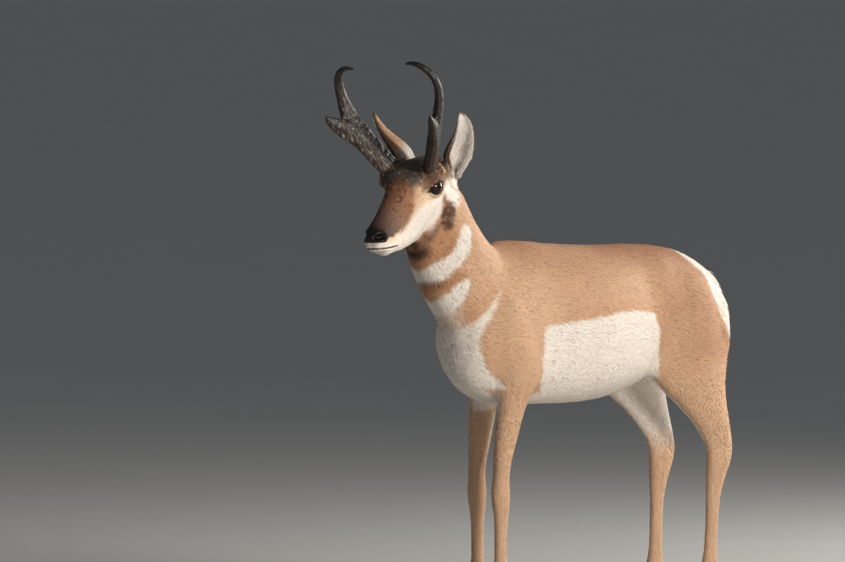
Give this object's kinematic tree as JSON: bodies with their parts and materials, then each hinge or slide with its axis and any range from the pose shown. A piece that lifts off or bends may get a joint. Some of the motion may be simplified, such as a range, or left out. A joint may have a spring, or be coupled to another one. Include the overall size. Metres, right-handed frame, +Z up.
{
  "type": "life-size standing pronghorn buck, museum model",
  "caption": "Life-size standing pronghorn buck with its head turned to its left, pronged horns that hook inward, upright ears, slim legs and cloven hooves.",
  "frame": {"origin": "on the floor, under the middle of the animal's box", "axes": "+Z up, the animal faces -X and its left side is towards -Y"},
  "size_m": [1.0938, 0.3436, 1.3002],
  "materials": {
    "coat": "short tan coat with white flanks, belly, rump and throat bands",
    "face_coat": "short face coat, dark muzzle and crown, white cheeks, lips and chin",
    "tail_coat": "pale coat with a brown stripe above",
    "ear_coat": "tan back, pale inside, dark edge",
    "horn": "dark horn with a rough grain, smooth near the tips",
    "hoof": "black horn, low sheen",
    "eye": "near-black and wet-looking"
  },
  "bodies": {
    "root": {"head": "face_coat", "neck": "coat", "torso": "coat", "tail": "tail_coat", "ear_left": "ear_coat", "ear_right": "ear_coat", "eye_left": "eye", "eye_right": "eye", "horn_left": "horn", "horn_right": "horn", "foreleg_left_upper": "coat", "foreleg_left_lower": "coat", "foreleg_right_upper": "coat", "foreleg_right_lower": "coat", "hindleg_left_upper": "coat", "hindleg_left_lower": "coat", "hindleg_right_upper": "coat", "hindleg_right_lower": "coat", "hoof_fore_left_outer": "hoof", "hoof_fore_left_inner": "hoof", "hoof_fore_right_outer": "hoof", "hoof_fore_right_inner": "hoof", "hoof_hind_left_outer": "hoof", "hoof_hind_left_inner": "hoof", "hoof_hind_right_outer": "hoof", "hoof_hind_right_inner": "hoof"}
  },
  "joints": []
}
